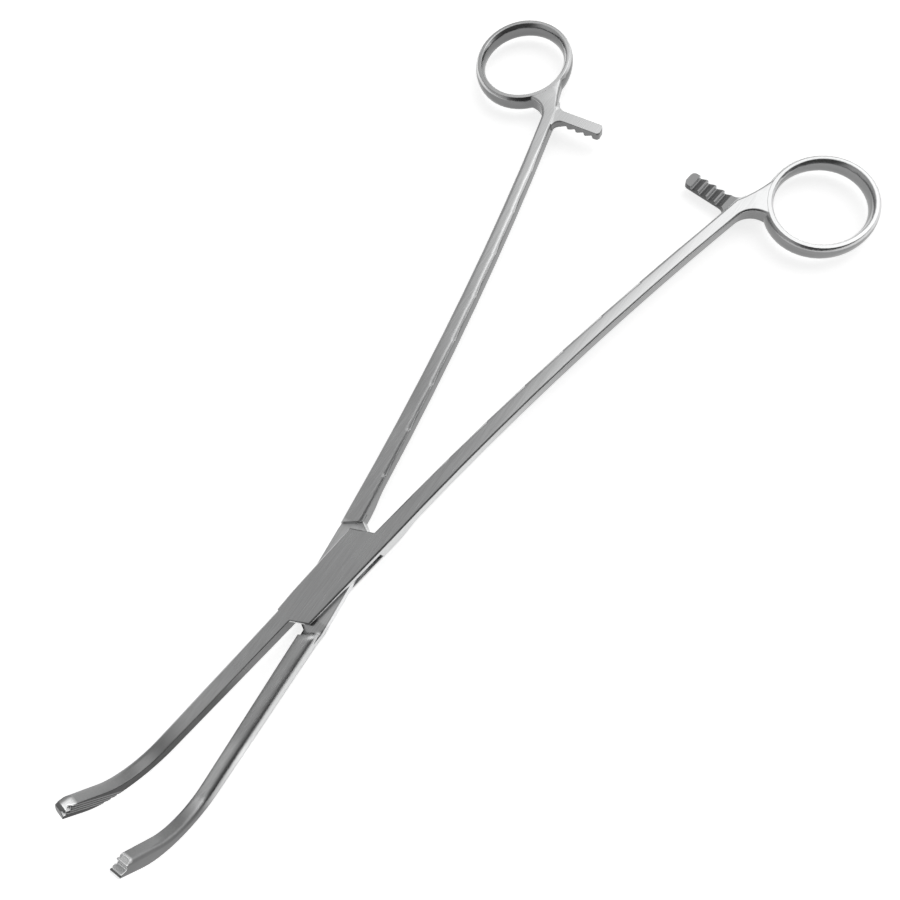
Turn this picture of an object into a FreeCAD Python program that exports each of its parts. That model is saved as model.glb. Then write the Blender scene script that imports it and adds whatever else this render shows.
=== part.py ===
import FreeCAD, Part
import math
import os

# Right angle forceps, ring handled, with a box lock and a ratchet.
# Each arm is one forging: finger ring, shank, ratchet bar, box lock half and a jaw whose end
# stands at a right angle to the arm. The box arm carries a slotted box, the tongue arm is
# thinned to a tongue that passes through the slot, and a flush rivet pins the two together.
# Frame: the pivot axis is Z, the underside of the box is z = 0, the rings lie towards +Y and
# the jaw ends rise towards +Z. Each arm is drawn closed and then turned open about Z.

doc = FreeCAD.newDocument("RightAngleForceps")

sizes = {
    # Box lock
    "boxThickness": 6.6,
    "plateThickness": 1.85,
    "slotPlay": 0.05,
    "boxLeft": 5.05,
    "boxRight": 4.7,
    "boxHead": 13.6,
    "boxFoot": 17.2,
    "footLip": 0.2,
    "cheekLength": 6.0,
    "shoulderSlope": 0.592,
    "slotWallSlope": 0.66,
    "stepGap": 1.0,
    "stepInset": 0.1,
    "tongueLeft": 5.85,
    "tongueRight": 5.0,
    "tongueBite": 3.0,
    "tongueInset": 0.25,
    "wallGap": 0.4,
    "armEdge": 0.7,
    # Rivet
    "pinRadius": 1.75,
    "pinHeadRadius": 2.3,
    "pinPlay": 0.05,
    # Shank
    "shankRootX": 3.3,
    "shankRootY": 15.0,
    "shankRootWidth": 4.9,
    "shankMiddleWidth": 4.1,
    "shankEndX": 14.33,
    "shankEndY": 138.0,
    "shankEndWidth": 3.65,
    "shankBow": 1.95,
    "shankUndercut": 1.9,
    "undercutStart": 16.0,
    "undercutLength": 10.0,
    # Neck between the shank's end and the finger ring; turns are degrees round the ring
    "neckInnerX": 0.85,
    "neckInnerY": 6.6,
    "neckInnerBowX": 2.25,
    "neckInnerBowY": 4.9,
    "neckInnerTurn": 186.0,
    "neckOuterX": 0.5,
    "neckOuterY": 3.2,
    "neckOuterBowX": 1.85,
    "neckOuterBowY": 3.1,
    "neckOuterTurn": 233.0,
    "webInnerTurn": 163.0,
    "webOuterTurn": 252.0,
    # Finger ring
    "ringX": 31.2,
    "ringY": 156.9,
    "ringRadius": 13.25,
    "ringHalfWidth": 1.35,
    "ringHalfHeight": 2.5,
    "ringHeight": 4.15,
    "ringCrestRadius": 1.1,
    "rimShare": 0.6,
    # Ratchet
    "boxRatchetReach": 1.7,
    "tongueRatchetReach": 1.3,
    "boxRatchetY": 144.5,
    "tongueRatchetY": 143.7,
    "boxRatchetWidth": 4.3,
    "tongueRatchetWidth": 3.1,
    "ratchetSplit": 3.75,
    "ratchetInset": 0.1,
    "ratchetNose": 0.3,
    "ratchetFlare": 2.2,
    "ratchetPlay": 0.1,
    "toothPitch": 2.7,
    "toothDepth": 1.0,
    "toothFlank": 0.25,
    "toothLand": 0.5,
    "toothCount": 4,
    "firstTooth": 0.6,
    # Jaw
    "jawRise": 0.101,
    "jawUnderRise": 0.132,
    "jawBendY": 69.2,
    "jawBackY": 75.2,
    "jawLean": 0.098,
    "jawBackLean": 0.02,
    "jawInnerRadius": 12.3,
    "jawOuterRadius": 18.5,
    "jawTop": 33.3,
    "boxJawRoot": 0.8,
    "tongueJawRoot": 3.0,
    "matingLength": 2.0,
    "jawWidth": 5.05,
    "jawTaperAlong": 0.0225,
    "jawTaperUp": 0.013,
    "jawEdge": 1.1,
    "jawGap": 0.15,
    "jawLedge": 0.9,
    "jawShoulder": 0.15,
    "boxTipEdge": 1.7,
    "tongueTipEdge": 1.0,
    "tipNotchDepth": 1.3,
    "tipNotchWidth": 2.0,
    "tipToothDepth": 0.9,
    "tipToothPitch": 1.4,
    "tipToothHeight": 1.8,
    "grooveCount": 4,
    "groovePitch": 0.8,
    "grooveInset": 1.05,
    "grooveDepth": 0.3,
    "grooveStart": 14.0,
    # Opening of each arm from the middle, as photographed
    "halfOpening": 6.2,
}

sheet = doc.addObject("Spreadsheet::Sheet", "sizes")
for row, (alias, value) in enumerate(sizes.items(), start=1):
    sheet.set(f"A{row}", alias)
    sheet.set(f"B{row}", str(value))
    sheet.setAlias(f"B{row}", alias)
doc.recompute()


def size(alias):
    return float(sheet.get(alias))


def vector(x, y, z=0.0):
    return FreeCAD.Vector(x, y, z)


def newBody(name):
    return doc.addObject("PartDesign::Body", name)


def newSketch(body, name, role, offset=None):
    sketch = body.newObject("Sketcher::SketchObject", name)
    plane = next(feature for feature in body.Origin.OriginFeatures if feature.Role == role)
    sketch.AttachmentSupport = (plane, [""])
    sketch.MapMode = "FlatFace"
    if offset is not None:
        sketch.AttachmentOffset = FreeCAD.Placement(offset, FreeCAD.Rotation())
    return sketch


# Draws a closed outline; a step is (end,) for a line or (middle, end) for an arc
def drawOutline(sketch, start, steps):
    here = vector(*start)
    for step in steps:
        end = vector(*step[-1])
        if len(step) == 1:
            sketch.addGeometry(Part.LineSegment(here, end), False)
        else:
            sketch.addGeometry(Part.Arc(here, vector(*step[0]), end), False)
        here = end


# Start, middle and end of the arc that rounds a corner between two straight runs
def roundedCorner(before, corner, after, radius):
    toBefore = (vector(*before) - vector(*corner)).normalize()
    toAfter = (vector(*after) - vector(*corner)).normalize()
    half = toBefore.getAngle(toAfter) / 2
    reach = radius / math.tan(half)
    bisector = (toBefore + toAfter).normalize()
    middle = vector(*corner) + bisector * (radius / math.sin(half) - radius)
    start = vector(*corner) + toBefore * reach
    end = vector(*corner) + toAfter * reach
    return (start.x, start.y), (middle.x, middle.y), (end.x, end.y)


def mirrored(side, points):
    return [(side * x, y) for x, y in points]


def edgeNames(shape, test):
    return [f"Edge{i}" for i, edge in enumerate(shape.Edges, start=1) if test(edge)]


# A block from a straight sided outline on the XY plane, between two heights
def plate(name, points, bottom, height):
    body = newBody(name)
    sketch = newSketch(body, name + "Outline", "XY_Plane", vector(0, 0, bottom))
    drawOutline(sketch, points[0], [(point,) for point in points[1:] + points[:1]])
    pad = body.newObject("PartDesign::Pad", name + "Pad")
    pad.Profile = sketch
    pad.Length = height
    body.Tip = pad
    return body, pad


# Inner and outer edge of the shank at its root, middle and end
def shankEdges():
    rootY, endY = size("shankRootY"), size("shankEndY")
    rootX, endX = size("shankRootX"), size("shankEndX")
    middleX = (rootX + endX) / 2 - size("shankBow")
    stations = [
        (rootX, rootY, size("shankRootWidth") / 2),
        (middleX, (rootY + endY) / 2, size("shankMiddleWidth") / 2),
        (endX, endY, size("shankEndWidth") / 2),
    ]
    inner = [(x - half, y) for x, y, half in stations]
    outer = [(x + half, y) for x, y, half in stations]
    return inner, outer


# The arm in plan, from the box or the tongue's step to the finger ring's junction
def makeShank(name, side, hasBox):
    body = newBody(name)
    inner, outer = shankEdges()
    cx, cy = size("ringX"), size("ringY")
    crest = size("ringRadius")
    rim = crest + size("rimShare") * size("ringHalfWidth")

    def onRing(radius, degrees):
        angle = math.radians(degrees)
        return cx + radius * math.cos(angle), cy + radius * math.sin(angle)

    endIn, endOut = inner[2], outer[2]
    neckIn = (endIn[0] + size("neckInnerX"), endIn[1] + size("neckInnerY"))
    neckOut = (endOut[0] + size("neckOuterX"), endOut[1] + size("neckOuterY"))
    bowIn = (neckIn[0] + size("neckInnerBowX"), neckIn[1] + size("neckInnerBowY"))
    bowOut = (neckOut[0] + size("neckOuterBowX"), neckOut[1] + size("neckOuterBowY"))
    webIn, webOut = size("webInnerTurn"), size("webOuterTurn")
    slope = size("shoulderSlope")
    if hasBox:
        head, foot = size("boxHead"), -size("boxFoot")
        left, right = -size("boxLeft"), size("boxRight")
        cheek = size("jawWidth") + size("jawTaperAlong") * foot + size("jawShoulder")
        start = (inner[0][0], head + slope * inner[0][0])
        lip = size("footLip")
        base = [
            ((right, foot + slope * right + lip),),
            ((-lip, foot - slope * lip),),
            ((-lip - size("jawGap"), foot),),
            ((-cheek, foot),),
            ((left, foot + size("cheekLength")),),
            ((left, head + slope * left),),
            (start,),
        ]
    else:
        head = size("boxHead") + size("stepGap") * math.sqrt(1 + slope ** 2)
        start = (inner[0][0], head - slope * inner[0][0])
        corner = outer[0][0] - size("stepInset")
        base = [((corner, head - slope * corner),), (start,)]
    steps = [
        (inner[1], endIn),
        (neckIn,),
        (bowIn, onRing(rim, size("neckInnerTurn"))),
        (onRing(crest, webIn),),
        (onRing(crest, (webIn + webOut) / 2), onRing(crest, webOut)),
        (onRing(rim, size("neckOuterTurn")),),
        (bowOut, neckOut),
        (endOut,),
        (outer[1], outer[0]),
    ] + base
    sketch = newSketch(body, name + "Plan", "XY_Plane")
    drawOutline(sketch, (side * start[0], start[1]), [
        tuple((side * x, y) for x, y in step) for step in steps])
    pad = body.newObject("PartDesign::Pad", name + "Pad")
    pad.Profile = sketch
    pad.setExpression("Length", "sizes.boxThickness")
    body.Tip = pad
    doc.recompute()

    # Seen from the side, the underside rises past the box in an easy S
    begin, run, rise = size("undercutStart"), size("undercutLength"), size("shankUndercut")
    far = size("ringY") + 2 * size("ringRadius")
    profile = newSketch(body, name + "Underside", "YZ_Plane")
    drawOutline(profile, (begin, 0), [
        ((begin + run / 4, rise / 8), (begin + run / 2, rise / 2)),
        ((begin + 3 * run / 4, 7 * rise / 8), (begin + run, rise)),
        ((far, rise),),
        ((far, -rise),),
        ((begin, -rise),),
        ((begin, 0),),
    ])
    cut = body.newObject("PartDesign::Pocket", name + "Undercut")
    cut.Profile = profile
    cut.Midplane = True
    cut.Length = 4 * cx
    body.Tip = cut
    doc.recompute()
    if cut.Shape.Volume > pad.Shape.Volume - 1:
        raise RuntimeError(name + " undercut removed nothing")

    rounding = body.newObject("PartDesign::Fillet", name + "Edges")
    rounding.Base = (cut, edgeNames(cut.Shape, lambda edge: isArmEdge(edge, side, hasBox)))
    rounding.setExpression("Radius", "sizes.armEdge")
    body.Tip = rounding
    doc.recompute()
    return body


# Edges round the arm's upper and lower faces that the finished arm leaves open to view
def isArmEdge(edge, side, hasBox):
    box = edge.BoundBox
    middle = edge.valueAt((edge.FirstParameter + edge.LastParameter) / 2)
    x, y = side * middle.x, middle.y
    if box.ZLength > 3 or box.XLength < 1 and box.YLength < 1:
        return False
    fromRing = math.hypot(x - size("ringX"), y - size("ringY"))
    if fromRing < size("ringRadius") + 0.05:
        return False
    nearStep = y < size("shankRootY") and box.XLength > 3
    if nearStep and not hasBox:
        return False
    inJaw = y < -size("boxFoot") + 0.01
    across = box.YLength < 0.05 and abs(y) > size("boxHead")
    return not inJaw and not across


# Upright oval section: two long arcs, and crests that turn over in a bevel, a land and a bevel
def ovalSteps(centreX, halfWidth, halfHeight, crest):
    rise = halfHeight - crest
    flat = (halfWidth ** 2 + rise ** 2 - crest ** 2) / (2 * (halfWidth - crest))
    x = crest * (flat - halfWidth) / (flat - crest)
    y = rise + crest * rise / (flat - crest)
    third = math.atan2(x, y - rise) / 3
    land = crest * math.tan(third)
    return (centreX + x, -y), [
        ((centreX + halfWidth, 0), (centreX + x, y)),
        ((centreX + land, halfHeight),),
        ((centreX - land, halfHeight),),
        ((centreX - x, y),),
        ((centreX - halfWidth, 0), (centreX - x, -y)),
        ((centreX - land, -halfHeight),),
        ((centreX + land, -halfHeight),),
        ((centreX + x, -y),),
    ]


# Finger ring: an oval section turned about the ring's own axis
def makeRing(name, side):
    body = newBody(name)
    sketch = newSketch(body, name + "Section", "XZ_Plane")
    sketch.setExpression("AttachmentOffset.Base.x", f"{side} * sizes.ringX")
    sketch.setExpression("AttachmentOffset.Base.y", "sizes.ringHeight")
    sketch.setExpression("AttachmentOffset.Base.z", "-sizes.ringY")
    start, steps = ovalSteps(size("ringRadius"), size("ringHalfWidth"), size("ringHalfHeight"),
                             size("ringCrestRadius"))
    drawOutline(sketch, start, steps)
    turn = body.newObject("PartDesign::Revolution", name + "Turn")
    turn.Profile = sketch
    turn.ReferenceAxis = (sketch, ["V_Axis"])
    turn.Angle = 360
    body.Tip = turn
    return body


# Ratchet bar: saw teeth that face the other arm's bar
def makeRatchet(name, side, upper):
    body = newBody(name)
    play = size("ratchetPlay") / 2
    inset = size("ratchetInset")
    low = size("shankUndercut") + inset
    high = size("boxThickness") - inset
    middle = size("ratchetSplit")
    width = size("tongueRatchetWidth") if upper else size("boxRatchetWidth")
    line = size("tongueRatchetY") if upper else size("boxRatchetY")
    near, far = line - width / 2, line + width / 2
    tip = -size("tongueRatchetReach") if upper else -size("boxRatchetReach")
    root = size("shankEndX")
    nose = size("ratchetNose") * width
    flare = size("ratchetFlare")
    neck = root - size("shankEndWidth") / 2
    start = (root, near - flare)
    steps = [
        ((neck, near - flare),),
        ((neck - 0.3 * flare, near - 0.3 * flare), (neck - flare, near)),
        ((tip + nose, near),),
        ((tip + 0.3 * nose, near + 0.3 * nose), (tip, near + nose)),
        ((tip, far - nose),),
        ((tip + 0.3 * nose, far - 0.3 * nose), (tip + nose, far)),
        ((neck - 0.6 * flare, far),),
        ((neck + 0.15 * flare, far + 0.25 * flare), (neck + 0.65 * flare, far + flare)),
        ((root, far + flare),),
        (start,),
    ]
    bottom = middle + play if upper else low
    top = high if upper else middle - play
    sketch = newSketch(body, name + "Outline", "XY_Plane", vector(0, 0, bottom))
    drawOutline(sketch, (side * start[0], start[1]), [
        tuple((side * x, y) for x, y in step) for step in steps])
    pad = body.newObject("PartDesign::Pad", name + "Pad")
    pad.Profile = sketch
    pad.Length = top - bottom
    body.Tip = pad
    crest = bottom if upper else top
    deep = crest + size("toothDepth") if upper else crest - size("toothDepth")
    start = size("firstTooth")
    flank, land = size("toothFlank"), size("toothLand")
    cutPoints = mirrored(side, [(start, crest), (start + flank, deep), (start + 2 * flank, deep),
                                (start + size("toothPitch") - land, crest)])
    teeth = newSketch(body, name + "Tooth", "XZ_Plane", vector(0, 0, -far - flare))
    drawOutline(teeth, cutPoints[0], [(point,) for point in cutPoints[1:] + cutPoints[:1]])
    cut = body.newObject("PartDesign::Pocket", name + "Gullet")
    cut.Profile = teeth
    cut.Length = width + 2 * flare
    cut.Reversed = True
    body.Tip = cut
    doc.recompute()
    if cut.Shape.Volume > pad.Shape.Volume - 0.1:
        cut.Reversed = False
        doc.recompute()
    pattern = body.newObject("PartDesign::LinearPattern", name + "Teeth")
    pattern.Originals = [cut]
    pattern.Direction = (teeth, ["H_Axis"])
    pattern.Reversed = side < 0
    pattern.Occurrences = int(size("toothCount"))
    pattern.Length = size("toothPitch") * (size("toothCount") - 1)
    body.Tip = pattern
    return body


# Jaw: its side view, narrowed in plan and up its end, with a rounded back
def makeJaw(name, side):
    body = newBody(name)
    thick, tip = size("boxThickness"), size("jawTop")
    foot = -size("boxFoot")
    startY = foot + size("boxJawRoot") if side > 0 else foot + size("tongueJawRoot")
    topY, backY = -size("jawBendY"), -size("jawBackY")
    topCorner = (topY, thick + size("jawRise") * (foot - topY))
    ledge = size("jawLedge")
    backCorner = (backY, ledge + size("jawUnderRise") * (foot - backY))
    topEnd = (topY - size("jawLean") * (tip - topCorner[1]), tip)
    backEnd = (backY - size("jawBackLean") * (tip - backCorner[1]), tip)
    innerStart, innerMiddle, innerEnd = roundedCorner(
        (foot, thick), topCorner, topEnd, size("jawInnerRadius"))
    outerStart, outerMiddle, outerEnd = roundedCorner(
        (foot, ledge), backCorner, backEnd, size("jawOuterRadius"))
    sideView = newSketch(body, name + "Side", "YZ_Plane")
    bevel = size("boxTipEdge") if side > 0 else size("tongueTipEdge")
    start = (startY, ledge + size("jawUnderRise") * (foot - startY))
    drawOutline(sideView, start, [
        (outerStart,),
        (outerMiddle, outerEnd),
        ((backEnd[0] + size("jawBackLean") * bevel, tip - bevel),),
        ((backEnd[0] + bevel, tip),),
        ((topEnd[0] - bevel, tip),),
        ((topEnd[0] + size("jawLean") * bevel, tip - bevel),),
        (innerEnd,),
        (innerMiddle, innerStart),
        ((startY, thick + size("jawRise") * (foot - startY)),),
        (start,),
    ])
    pad = body.newObject("PartDesign::Pad", name + "Pad")
    pad.Profile = sideView
    pad.setExpression("Length", "sizes.jawWidth")
    pad.Reversed = side > 0
    body.Tip = pad
    doc.recompute()

    # The mating face is set back towards the box, so that the tips meet first
    wide = size("jawWidth")
    close = topY + size("matingLength")
    gap = size("jawGap")
    mating = mirrored(-side, [(-wide, startY + wide), (-wide, close), (0, close), (gap, startY + wide)])
    cutJaw(body, name + "Mating", "XY_Plane", mating, None, True)

    # The outer side is one slanted plane, so the jaw narrows both along its length and up its end
    slant = vector(side * size("jawTaperAlong"), -side * size("jawTaperUp"), 1)
    offset = FreeCAD.Placement(vector(0, 0, -side * wide), FreeCAD.Rotation(vector(0, 0, 1), slant))
    reach = 2 * size("jawBackY")
    square = [(-reach, -reach), (reach, -reach), (reach, reach), (-reach, reach)]
    cutJaw(body, name + "Outside", "YZ_Plane", square, offset, side < 0)

    backEdges = edgeNames(body.Tip.Shape, lambda edge: isJawBack(edge, side))
    fillet = body.newObject("PartDesign::Fillet", name + "Back")
    fillet.Base = (doc.getObject(name + "Outside"), backEdges)
    fillet.setExpression("Radius", "sizes.jawEdge")
    body.Tip = fillet
    doc.recompute()
    if side < 0:
        slope = size("shoulderSlope")
        step = foot - size("stepGap") * math.sqrt(1 + slope ** 2)
        above = [(-wide, step - wide * slope), (2 * wide, step + 2 * wide * slope), (2 * wide, 0), (-wide, 0)]
        cutJaw(body, name + "Step", "XY_Plane", above, None, True)
    return body


def cutJaw(body, name, plane, points, offset, reversed):
    before = body.Shape.Volume
    sketch = newSketch(body, name + "Outline", plane)
    if offset is not None:
        sketch.AttachmentOffset = offset
    drawOutline(sketch, points[0], [(point,) for point in points[1:] + points[:1]])
    cut = body.newObject("PartDesign::Pocket", name)
    cut.Profile = sketch
    cut.Length = size("jawTop") + size("boxThickness")
    cut.Reversed = reversed
    body.Tip = cut
    doc.recompute()
    if cut.Shape.isNull() or cut.Shape.Volume > before - 0.1:
        raise RuntimeError(name + " removed nothing")


# Long edges of a jaw's outer side, outside the box and short of the tip
def isJawBack(edge, side):
    first, last = edge.FirstParameter, edge.LastParameter
    for parameter in (first, (first + last) / 2, last):
        point = edge.valueAt(parameter)
        outside = size("jawWidth") + size("jawTaperAlong") * point.y - size("jawTaperUp") * point.z
        if abs(-side * point.x - outside) > 0.001:
            return False
    box = edge.BoundBox
    atTip = box.ZMin > size("jawTop") - size("boxTipEdge" if side > 0 else "tongueTipEdge") - 0.1
    atStart = box.ZLength > 5 and box.YLength < 0.1
    return not atTip and not atStart


# Plan of the slot, between its two slanted end walls; a gap makes it the tongue's
def slotWalls(gap):
    slope = size("slotWallSlope")
    inner = size("shankRootX") - size("shankRootWidth") / 2
    lift = gap * math.sqrt(1 + slope ** 2)
    head = size("boxHead") + size("shoulderSlope") * inner + slope * inner - lift
    foot = -size("boxFoot") + lift
    return head, foot, slope


def makeSlot(name):
    head, foot, slope = slotWalls(0)
    reach = 2 * size("boxLeft")
    points = [(reach, head - slope * reach), (-reach, head + slope * reach),
              (-reach, foot + slope * reach), (reach, foot - slope * reach)]
    bottom = size("plateThickness")
    body, pad = plate(name, points, bottom, 1)
    pad.setExpression("Length", "sizes.boxThickness - 2 * sizes.plateThickness")
    return body


# Tongue: the thinned middle of the other arm, inside the slot
def makeTongue(name):
    head, foot, slope = slotWalls(size("wallGap"))
    left, right = size("tongueLeft"), size("tongueRight")
    inner = size("shankRootX") - size("shankRootWidth") / 2
    shoulder = size("boxHead") + size("tongueBite")
    jawSide = size("jawGap")
    toe = -size("boxFoot") - size("tongueBite")
    jawOuter = size("jawWidth") + size("jawTaperAlong") * toe - size("tongueInset")
    points = [
        (right, head - slope * right),
        (-inner, head + slope * inner),
        (-inner, shoulder),
        (-left + 2 * size("tongueInset"), shoulder),
        (-left, size("boxHead") - slope * left),
        (-left, foot + slope * left),
        (jawSide, foot - slope * jawSide),
        (jawSide, toe),
        (jawOuter, toe),
        (right, -size("boxFoot") + size("tongueBite") / 2),
    ]
    bottom = size("plateThickness") + size("slotPlay")
    body, pad = plate(name, points, bottom, 1)
    pad.setExpression("Length", "sizes.boxThickness - 2 * sizes.plateThickness - 2 * sizes.slotPlay")
    return body


# Rivet: straight shank with flush conical heads
def makePin(name, play):
    body = newBody(name)
    sketch = newSketch(body, name + "Section", "XZ_Plane")
    thick = size("boxThickness")
    radius, head = size("pinRadius") + play, size("pinHeadRadius") + play
    cone = head - radius
    points = [(0, 0), (head, 0), (radius, cone), (radius, thick - cone), (head, thick), (0, thick)]
    drawOutline(sketch, points[0], [(point,) for point in points[1:] + points[:1]])
    turn = body.newObject("PartDesign::Revolution", name + "Turn")
    turn.Profile = sketch
    turn.ReferenceAxis = (sketch, ["V_Axis"])
    turn.Angle = 360
    body.Tip = turn
    return body


# Serrations: fine grooves along the mating face of the upright end
def makeGrooves(name, side):
    depth, pitch = size("grooveDepth"), size("groovePitch")
    body = newBody(name)
    sketch = newSketch(body, name + "Section", "XY_Plane", vector(0, 0, size("grooveStart")))
    first = -size("jawBackY") + size("grooveInset")
    points = [(side * depth, first - pitch / 2), (-side * depth, first), (side * depth, first + pitch / 2)]
    drawOutline(sketch, points[0], [(point,) for point in points[1:] + points[:1]])
    pad = body.newObject("PartDesign::Pad", name + "Pad")
    pad.Profile = sketch
    pad.setExpression("Length", "sizes.jawTop")
    body.Tip = pad
    pattern = body.newObject("PartDesign::LinearPattern", name + "Row")
    pattern.Originals = [pad]
    pattern.Direction = (sketch, ["V_Axis"])
    pattern.Occurrences = int(size("grooveCount"))
    pattern.Length = pitch * (size("grooveCount") - 1)
    body.Tip = pattern
    return body


# Tip of a jaw: the box arm's has two notches in its mating face, the other's a notch across its end
def makeTipNotch(name, side):
    body = newBody(name)
    tip = size("jawTop")
    middle = -size("jawBackY") + (size("jawBackY") - size("jawBendY")) / 3
    if side > 0:
        pitch, depth = size("tipToothPitch"), size("tipToothDepth")
        first = middle - pitch / 2
        sketch = newSketch(body, name + "Section", "XY_Plane", vector(0, 0, tip - size("tipToothHeight")))
        points = [(depth, first - pitch), (-depth, first), (depth, first + pitch)]
    else:
        half, depth = size("tipNotchWidth") / 2, size("tipNotchDepth")
        sketch = newSketch(body, name + "Section", "YZ_Plane")
        points = [(middle - 2 * half, tip + depth), (middle, tip - depth), (middle + 2 * half, tip + depth)]
    drawOutline(sketch, points[0], [(point,) for point in points[1:] + points[:1]])
    pad = body.newObject("PartDesign::Pad", name + "Pad")
    pad.Profile = sketch
    pad.Length = 3 * size("jawWidth")
    pad.Midplane = side < 0
    body.Tip = pad
    if side > 0:
        pattern = body.newObject("PartDesign::LinearPattern", name + "Pair")
        pattern.Originals = [pad]
        pattern.Direction = (sketch, ["V_Axis"])
        pattern.Occurrences = 2
        pattern.Length = pitch
        body.Tip = pattern
    return body


def join(name, pieces):
    fuse = doc.addObject("Part::MultiFuse", name)
    fuse.Shapes = pieces
    fuse.Refine = True
    return fuse


def cutOff(name, base, tools):
    cut = doc.addObject("Part::Cut", name)
    cut.Base = base
    cut.Tool = tools[0] if len(tools) == 1 else join(name + "Tools", tools)
    cut.Refine = True
    return cut


def makeArm(name, side, tools):
    pieces = [
        makeShank(name + "Shank", side, side > 0),
        makeRing(name + "Ring", side),
        makeRatchet(name + "Ratchet", side, side < 0),
        makeJaw(name + "Jaw", side),
    ]
    if side < 0:
        pieces.append(makeTongue("tongue"))
    whole = join(name + "Forging", pieces)
    serrations = [makeGrooves(name + "Grooves", side), makeTipNotch(name + "Tip", side)]
    return cutOff(name, whole, tools + serrations)


boxArm = makeArm("boxArm", 1, [makeSlot("slot"), makePin("boxBore", 0)])
tongueArm = makeArm("tongueArm", -1, [makePin("tongueBore", size("pinPlay"))])
lockPin = makePin("lockPin", 0)
doc.recompute()

upright = vector(0, 0, 1)
boxArm.Placement = FreeCAD.Placement(vector(0, 0), FreeCAD.Rotation(upright, -size("halfOpening")))
tongueArm.Placement = FreeCAD.Placement(vector(0, 0), FreeCAD.Rotation(upright, size("halfOpening")))
doc.recompute()

for item in doc.Objects:
    if "Invalid" in item.State or "Error" in item.State:
        raise RuntimeError(f"{item.Name} is in state {item.State}")
    if item.TypeId in ("Part::MultiFuse", "Part::Cut") and not item.Shape.isValid():
        raise RuntimeError(f"{item.Name} has an unsound shape")

os.makedirs("parts", exist_ok=True)
for item, label in ((boxArm, "box_arm"), (tongueArm, "tongue_arm"), (lockPin, "lock_pin")):
    item.Label = label
    shape = item.Shape
    if shape.isNull() or not shape.isValid() or len(shape.Solids) != 1:
        raise RuntimeError(f"{label} is not one sound solid: {len(shape.Solids)}")
    shape.exportStep(f"parts/{label}.step")
    box = shape.BoundBox
    print(label, round(shape.Volume, 1), [round(v, 1) for v in (box.XMin, box.XMax, box.YMin, box.YMax,
                                                                 box.ZMin, box.ZMax)])
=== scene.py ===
import math

import bmesh
import bpy
from mathutils import Matrix, Vector


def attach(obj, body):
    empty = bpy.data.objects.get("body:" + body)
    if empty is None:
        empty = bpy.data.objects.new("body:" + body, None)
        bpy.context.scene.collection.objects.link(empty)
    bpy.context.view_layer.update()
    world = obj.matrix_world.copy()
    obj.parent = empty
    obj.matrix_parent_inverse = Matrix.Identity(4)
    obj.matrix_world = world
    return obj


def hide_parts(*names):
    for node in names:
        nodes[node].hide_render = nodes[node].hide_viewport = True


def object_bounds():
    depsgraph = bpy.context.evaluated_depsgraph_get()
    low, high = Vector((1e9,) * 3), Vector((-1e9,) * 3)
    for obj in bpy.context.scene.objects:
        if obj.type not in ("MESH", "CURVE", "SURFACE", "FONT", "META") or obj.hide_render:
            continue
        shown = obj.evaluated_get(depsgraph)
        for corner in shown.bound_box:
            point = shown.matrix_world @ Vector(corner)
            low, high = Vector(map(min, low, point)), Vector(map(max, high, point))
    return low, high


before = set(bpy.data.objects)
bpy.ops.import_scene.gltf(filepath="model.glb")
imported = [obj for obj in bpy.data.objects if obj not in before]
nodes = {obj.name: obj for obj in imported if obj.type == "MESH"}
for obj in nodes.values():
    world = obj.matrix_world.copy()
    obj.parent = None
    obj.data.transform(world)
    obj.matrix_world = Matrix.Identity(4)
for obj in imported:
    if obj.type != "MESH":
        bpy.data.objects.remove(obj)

cadLow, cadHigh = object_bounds()
collection = bpy.context.scene.collection
print("frame loaded")


def newMaterial(name):
    material = bpy.data.materials.new(name)
    material.use_nodes = True
    tree = material.node_tree
    return material, tree, tree.nodes["Principled BSDF"]


def addNode(tree, kind, **inputs):
    node = tree.nodes.new(kind)
    for name, value in inputs.items():
        node.inputs[name].default_value = value
    return node


# A value is a number or another node's output
def addMath(tree, operation, *values, kind="ShaderNodeMath"):
    node = tree.nodes.new(kind)
    node.operation = operation
    for socket, value in zip(node.inputs, values):
        if hasattr(value, "is_output"):
            tree.links.new(value, socket)
        else:
            socket.default_value = value
    return node.outputs["Value"]


def mapRange(tree, source, low, high, outLow, outHigh, soft=False):
    node = addNode(tree, "ShaderNodeMapRange", **{
        "From Min": low, "From Max": high, "To Min": outLow, "To Max": outHigh})
    if soft:
        node.interpolation_type = "SMOOTHSTEP"
    tree.links.new(source, node.inputs["Value"])
    return node.outputs["Result"]


def addMapping(tree, source, **inputs):
    node = addNode(tree, "ShaderNodeMapping", **inputs)
    tree.links.new(source, node.inputs["Vector"])
    return node.outputs["Vector"]


def addNoise(tree, vector, **inputs):
    node = addNode(tree, "ShaderNodeTexNoise", **inputs)
    tree.links.new(vector, node.inputs["Vector"])
    return node.outputs["Fac"]


# Where a point lies on the closed arm: x across, y along and z up, the way nx, ny, nz that it
# faces, and how far it is in plan from the finger ring's centre and from the pivot
def armMeasures(tree, coords, look):
    turn = (0, 0, math.radians(look["turn"]))
    measures = {}
    for source, names in (("Object", ("x", "y", "z")), ("Normal", ("nx", "ny", "nz"))):
        split = tree.nodes.new("ShaderNodeSeparateXYZ")
        turned = addMapping(tree, coords[source], Rotation=turn)
        tree.links.new(turned, split.inputs["Vector"])
        measures.update(zip(names, split.outputs))
    plan = addMapping(tree, coords["Object"], Rotation=turn, Scale=(1, 1, 0))
    for name, centre in (("fromRing", look["ringCentre"]), ("fromPivot", (0, 0, 0))):
        measures[name] = addMath(tree, "DISTANCE", plan, centre, kind="ShaderNodeVectorMath")
    return measures


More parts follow.
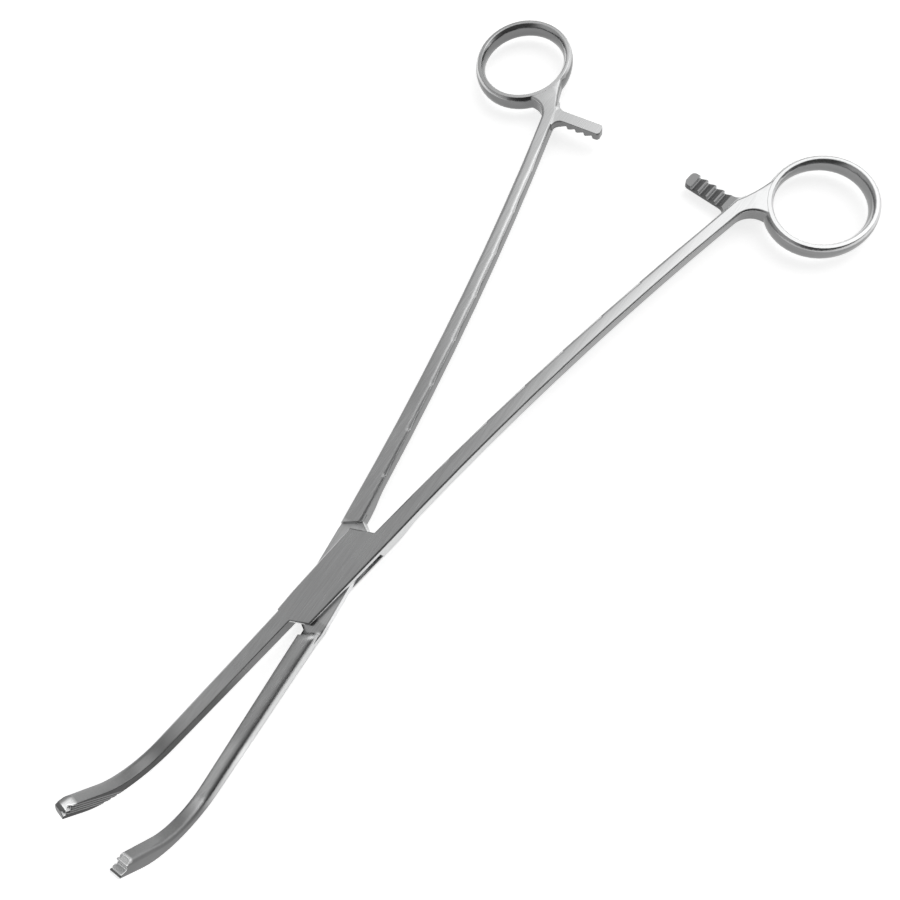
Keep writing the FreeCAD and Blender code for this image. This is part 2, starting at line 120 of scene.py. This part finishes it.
# A zone is a stretch of the arm with its own finish and its own painted shade or highlight. Each
# row under "where" is a measure and the two values between which the zone fades in. Shade, which
# is painted shade or highlight, and streaks multiply, rough and rounding add
def zoneEffects(tree, measures, look):
    effects = {"shade": 1.0, "streaks": 1.0, "rough": 0.0, "rounding": look["wornEdge"]}
    for zone in look["zones"]:
        mask = 1.0
        for measure, low, high in zone["where"]:
            fade = mapRange(tree, measures[measure], low, high, 0.0, 1.0, soft=True)
            mask = addMath(tree, "MULTIPLY", mask, fade)
        for effect in ("shade", "streaks"):
            if effect in zone:
                factor = mapRange(tree, mask, 0.0, 1.0, 1.0, zone[effect])
                effects[effect] = addMath(tree, "MULTIPLY", effects[effect], factor)
        for effect in ("rough", "rounding"):
            if effect in zone:
                extra = addMath(tree, "MULTIPLY", mask, zone[effect])
                effects[effect] = addMath(tree, "ADD", effects[effect], extra)
    return effects


# Satin ground stainless steel: fine streaks along the arm over a faint cloud. The zones' shade
# factors paint shade and highlights into the colour
def groundSteel(name, look):
    material, tree, shader = newMaterial(name)
    coords = tree.nodes.new("ShaderNodeTexCoord").outputs
    measures = armMeasures(tree, coords, look)
    effects = zoneEffects(tree, measures, look)

    along = addMapping(tree, coords["Object"], Scale=look["grainScale"])
    grain = addNoise(tree, along, **look["grain"])
    cloud = addNoise(tree, coords["Object"], **look["cloud"])
    streaks = mapRange(tree, grain, *look["grainSpan"], -1.0, 1.0)
    streaks = addMath(tree, "MULTIPLY", streaks, effects["streaks"])

    toneStreak = addMath(tree, "MULTIPLY", streaks, look["toneStreak"])
    toneCloud = mapRange(tree, cloud, *look["cloudSpan"], *look["toneCloud"])
    tone = addMath(tree, "ADD", look["tone"], toneStreak)
    tone = addMath(tree, "ADD", tone, toneCloud)
    # Painted shade and highlights: the zones' shade darkens or lightens the colour where the
    # steel's reflections fall
    tone = addMath(tree, "MULTIPLY", tone, effects["shade"])
    colour = tree.nodes.new("ShaderNodeCombineColor")
    for channel, tint in zip(("Red", "Green", "Blue"), look["tint"]):
        tree.links.new(addMath(tree, "MULTIPLY", tone, tint), colour.inputs[channel])
    tree.links.new(colour.outputs["Color"], shader.inputs["Base Color"])
    shader.inputs["Metallic"].default_value = 1.0

    roughStreak = addMath(tree, "MULTIPLY", streaks, look["roughStreak"])
    roughCloud = mapRange(tree, cloud, *look["cloudSpan"], *look["roughCloud"])
    rough = addMath(tree, "ADD", look["rough"], roughStreak)
    rough = addMath(tree, "ADD", rough, roughCloud)
    rough = addMath(tree, "ADD", rough, effects["rough"])
    tree.links.new(rough, shader.inputs["Roughness"])

    worn = tree.nodes.new("ShaderNodeBevel")
    worn.samples = look["edgeSamples"]
    away = mapRange(tree, measures["fromPivot"], *look["rivetEdge"], look["rivetShare"], 1.0)
    tree.links.new(addMath(tree, "MULTIPLY", effects["rounding"], away), worn.inputs["Radius"])
    bump = addNode(tree, "ShaderNodeBump", Distance=look["bumpDepth"])
    strength = addMath(tree, "MULTIPLY", effects["streaks"], look["bump"])
    tree.links.new(strength, bump.inputs["Strength"])
    tree.links.new(grain, bump.inputs["Height"])
    tree.links.new(worn.outputs["Normal"], bump.inputs["Normal"])
    tree.links.new(bump.outputs["Normal"], shader.inputs["Normal"])
    return material


sharpAngle = math.radians(28)
mergeDistance = 0.000001
flatFaceWeight = 80  # how much the large flat faces lead the shading


# The CAD shape again with its facets joined, so that its arcs and rings shade as one surface
def smoothCopy(name, node, body, material):
    mesh = bpy.data.meshes.new(name)
    work = bmesh.new()
    work.from_mesh(nodes[node].data)
    bmesh.ops.remove_doubles(work, verts=work.verts, dist=mergeDistance)
    for face in work.faces:
        face.smooth = True
    for edge in work.edges:
        edge.smooth = len(edge.link_faces) == 2 and edge.calc_face_angle() < sharpAngle
    work.to_mesh(mesh)
    work.free()
    mesh.materials.append(material)
    piece = bpy.data.objects.new(name, mesh)
    collection.objects.link(piece)
    weighted = piece.modifiers.new("flatFaces", "WEIGHTED_NORMAL")
    weighted.weight = flatFaceWeight
    weighted.keep_sharp = True
    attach(piece, body)
    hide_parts(node)


# Lengths are in metres. The rivet is ground flush, so that its edge isn't rounded to the eye
steelLook = {
    "tone": 0.62, "toneStreak": 0.06, "toneCloud": (-0.015, 0.015), "tint": (0.995, 1.0, 1.003),
    "rough": 0.23, "roughStreak": 0.05, "roughCloud": (-0.02, 0.03),
    "grainScale": (2600, 90, 2600), "grain": {"Scale": 1.0, "Detail": 4.0, "Roughness": 0.62},
    "grainSpan": (0.25, 0.75), "cloudSpan": (0.3, 0.7),
    "cloud": {"Scale": 90.0, "Detail": 2.0, "Roughness": 0.5},
    "bump": 0.12, "bumpDepth": 0.00002,
    "wornEdge": 0.0005, "edgeSamples": 8, "rivetEdge": (0.0042, 0.005), "rivetShare": 0.02,
}

boxArmLook = {**steelLook, "turn": 6.2, "ringCentre": (0.0312, 0.1569, 0), "zones": [
    # Jaw: duller towards its end and darkened there by painted shade, with painted highlights on
    # the facets at the tip and painted shade on the mating side
    {"where": [("y", -0.030, -0.045)], "rough": 0.26},
    {"where": [("y", -0.050, -0.062)], "shade": 0.5},
    {"where": [("z", 0.0312, 0.0322), ("ny", 0.4, 0.6), ("x", -0.0025, -0.0015)],
     "shade": 2.9, "rough": -0.3},
    {"where": [("y", -0.010, -0.013), ("nx", 0.8, 0.95)], "shade": 0.1},
    # Side walls of the shank, darkened by painted shade
    {"where": [("y", 0.040, 0.085), ("nz", 0.55, 0.35)], "shade": 0.4},
    # Ratchet bar: darkened by painted shade, with a painted highlight on the flanks of its teeth
    {"where": [("y", 0.139, 0.1405), ("x", 0.0135, 0.0125)], "shade": 0.4, "rough": 0.06},
    {"where": [("y", 0.139, 0.1405), ("x", 0.0135, 0.0125), ("nx", 0.4, 0.7),
               ("z", 0.0015, 0.002)], "shade": 6.0},
    # Flat web between the shank and the ring, then the ring itself, which is smoother
    {"where": [("y", 0.130, 0.136), ("y", 0.158, 0.154), ("nz", 0.9, 0.97)], "rounding": -0.0004},
    {"where": [("fromRing", 0.0172, 0.0162)], "streaks": 0.25, "rough": -0.05},
]}

tongueArmLook = {**steelLook, "turn": -6.2, "ringCentre": (-0.0312, 0.1569, 0), "zones": [
    # Jaw: nearly half round up to the bend, with a painted highlight on the bend, dull behind it
    # and darkened there by painted shade, with painted shade on its outer side and painted
    # highlights on the facets at the tip
    {"where": [("y", -0.0135, -0.017), ("y", -0.070, -0.050)], "rounding": 0.0022},
    {"where": [("y", -0.044, -0.050), ("y", -0.064, -0.060)], "shade": 1.35, "rough": -0.05},
    {"where": [("y", -0.0605, -0.065)], "rough": 0.2},
    {"where": [("y", -0.058, -0.066)], "shade": 0.5},
    {"where": [("y", -0.045, -0.060), ("nx", 0.4, 0.8)], "shade": 0.5},
    {"where": [("z", 0.0312, 0.0322), ("ny", 0.4, 0.6)], "shade": 2.5, "rough": -0.2},
    {"where": [("z", 0.0316, 0.0324), ("ny", -0.5, -0.7)], "shade": 2.5, "rough": -0.2},
    # Shank: a softer edge, and painted shade that dims its highlight where it runs over the
    # ratchet's root
    {"where": [("y", 0.016, 0.024), ("y", 0.134, 0.126)], "rounding": 0.0007},
    {"where": [("y", 0.134, 0.139), ("y", 0.160, 0.155), ("nz", 0.985, 0.96), ("nx", 0.1, 0.2),
               ("z", 0.0056, 0.006)], "shade": 0.55},
    # Tongue: duller, and lighter by painted light, with painted shade on the mating side
    {"where": [("y", -0.0135, -0.0125), ("y", 0.0135, 0.0125)], "rough": 0.12, "shade": 1.3},
    {"where": [("y", -0.010, -0.013), ("nx", -0.8, -0.95)], "shade": 0.14},
    # Side walls of the shank, darkened by painted shade
    {"where": [("y", 0.013, 0.015), ("nz", 0.55, 0.35)], "shade": 0.33},
    # Flat web between the shank and the ring, then the ring itself, which is smoother
    {"where": [("y", 0.130, 0.136), ("y", 0.158, 0.154), ("nz", 0.9, 0.97)], "rounding": -0.0004},
    {"where": [("fromRing", 0.0172, 0.0162)], "streaks": 0.25, "rough": -0.05},
]}

lockPinLook = {**boxArmLook, "zones": []}

smoothCopy("boxArmSteel", "box_arm", "box_half",
           groundSteel("groundBoxArm", boxArmLook))
smoothCopy("tongueArmSteel", "tongue_arm", "tongue_half",
           groundSteel("groundTongueArm", tongueArmLook))
smoothCopy("lockPinSteel", "lock_pin", "box_half",
           groundSteel("groundLockPin", lockPinLook))
print("steel pieces made")


# Floor: white, and whiter than the light makes it where the camera and the steel see it
floorLook = {"size": 4.0, "gap": 0.0001, "colour": (0.7, 0.7, 0.7, 1), "rough": 0.9, "glow": 0.74}
floorPlace = Matrix.Translation((0, 0, cadLow.z - floorLook["gap"]))
floorMesh = bpy.data.meshes.new("floor")
work = bmesh.new()
bmesh.ops.create_grid(work, x_segments=1, y_segments=1, size=floorLook["size"], matrix=floorPlace)
work.to_mesh(floorMesh)
work.free()
floor = bpy.data.objects.new("floor", floorMesh)
collection.objects.link(floor)
floorMaterial, tree, shader = newMaterial("floorWhite")
shader.inputs["Base Color"].default_value = floorLook["colour"]
shader.inputs["Roughness"].default_value = floorLook["rough"]
shader.inputs["Specular IOR Level"].default_value = 0.0
shader.inputs["Emission Color"].default_value = (1, 1, 1, 1)
rays = tree.nodes.new("ShaderNodeLightPath").outputs
seen = addMath(tree, "MAXIMUM", rays["Is Camera Ray"], rays["Is Glossy Ray"])
seen = addMath(tree, "MAXIMUM", seen, rays["Is Transmission Ray"])
glow = mapRange(tree, seen, 0.0, 1.0, 0.0, floorLook["glow"])
tree.links.new(glow, shader.inputs["Emission Strength"])
floorMesh.materials.append(floorMaterial)
print("floor made")


def toward(azimuth, elevation):
    turn, rise = math.radians(azimuth), math.radians(elevation)
    return (math.cos(rise) * math.cos(turn), math.cos(rise) * math.sin(turn), math.sin(rise))


# Room: grey all round, a big soft window behind, a pale wall at the back right and a dark corner
# at the front right. Each has a direction, the two nearnesses to it that it fades in between,
# and its amount, which the window and the wall add and the corner takes away
roomLook = {
    "level": 0.40,
    "window": (toward(90, 55), 0.855, 1.0, 1.15),
    "paleWall": (toward(45, 25), 0.62, 0.95, 0.65),
    "darkCorner": (toward(-30, 25), 0.3, 0.8, 0.85),
}
world = bpy.data.worlds.new("studio")
bpy.context.scene.world = world
world.use_nodes = True
tree = world.node_tree
direction = tree.nodes.new("ShaderNodeTexCoord").outputs["Generated"]
level = roomLook["level"]
for part in ("window", "paleWall", "darkCorner"):
    centre, low, high, amount = roomLook[part]
    nearness = addMath(tree, "DOT_PRODUCT", direction, centre, kind="ShaderNodeVectorMath")
    if part == "darkCorner":
        kept = mapRange(tree, nearness, low, high, 1.0, 1.0 - amount, soft=True)
        level = addMath(tree, "MULTIPLY", level, kept)
    else:
        added = mapRange(tree, nearness, low, high, 0.0, amount, soft=True)
        level = addMath(tree, "ADD", level, added)
seenByCamera = tree.nodes.new("ShaderNodeLightPath").outputs["Is Camera Ray"]
hidden = addMath(tree, "SUBTRACT", 1.0, seenByCamera)
level = addMath(tree, "ADD", addMath(tree, "MULTIPLY", level, hidden), seenByCamera)
background = tree.nodes["Background"]
background.inputs["Color"].default_value = (1, 1, 1, 1)
tree.links.new(level, background.inputs["Strength"])

windowLampLook = {"place": (-0.13, 0.62, 0.72), "target": (0.0, 0.05, 0.01),
                  "width": 0.8, "height": 0.6, "power": 0.5}
light = bpy.data.lights.new("windowLamp", "AREA")
light.shape = "RECTANGLE"
light.size, light.size_y = windowLampLook["width"], windowLampLook["height"]
light.energy = windowLampLook["power"]
windowLamp = bpy.data.objects.new("windowLamp", light)
windowLamp.location = windowLampLook["place"]
aim = Vector(windowLampLook["target"]) - Vector(windowLampLook["place"])
windowLamp.rotation_euler = aim.to_track_quat("-Z", "Y").to_euler()
windowLamp.visible_glossy = False  # the room already shows the window in the steel
collection.objects.link(windowLamp)
bpy.context.scene.view_settings.view_transform = "Standard"
print("room and lamp set")

# Camera: close above the instrument, wide angle, as the photograph was taken
cameraLook = {
    "place": (0.06277, 0.02103, 0.19467), "right": (0.79088, 0.5875, -0.17133),
    "up": (-0.53988, 0.80168, 0.25686), "sensor": 36.0,
    "focal": 754.2 / 900.0,  # share of the picture's width
}
up = Vector(cameraLook["up"])
back = Vector(cameraLook["right"]).cross(up).normalized()
right = up.cross(back).normalized()
place = Vector(cameraLook["place"])
cameraData = bpy.data.cameras.new("camera")
cameraData.sensor_width = cameraLook["sensor"]
cameraData.lens = cameraLook["focal"] * cameraLook["sensor"]
cameraData.clip_start, cameraData.clip_end = 0.005, 20.0
camera = bpy.data.objects.new("camera", cameraData)
collection.objects.link(camera)
camera.matrix_world = Matrix((
    (right.x, up.x, back.x, place.x),
    (right.y, up.y, back.y, place.y),
    (right.z, up.z, back.z, place.z),
    (0, 0, 0, 1),
))
bpy.context.scene.camera = camera
print("camera set")
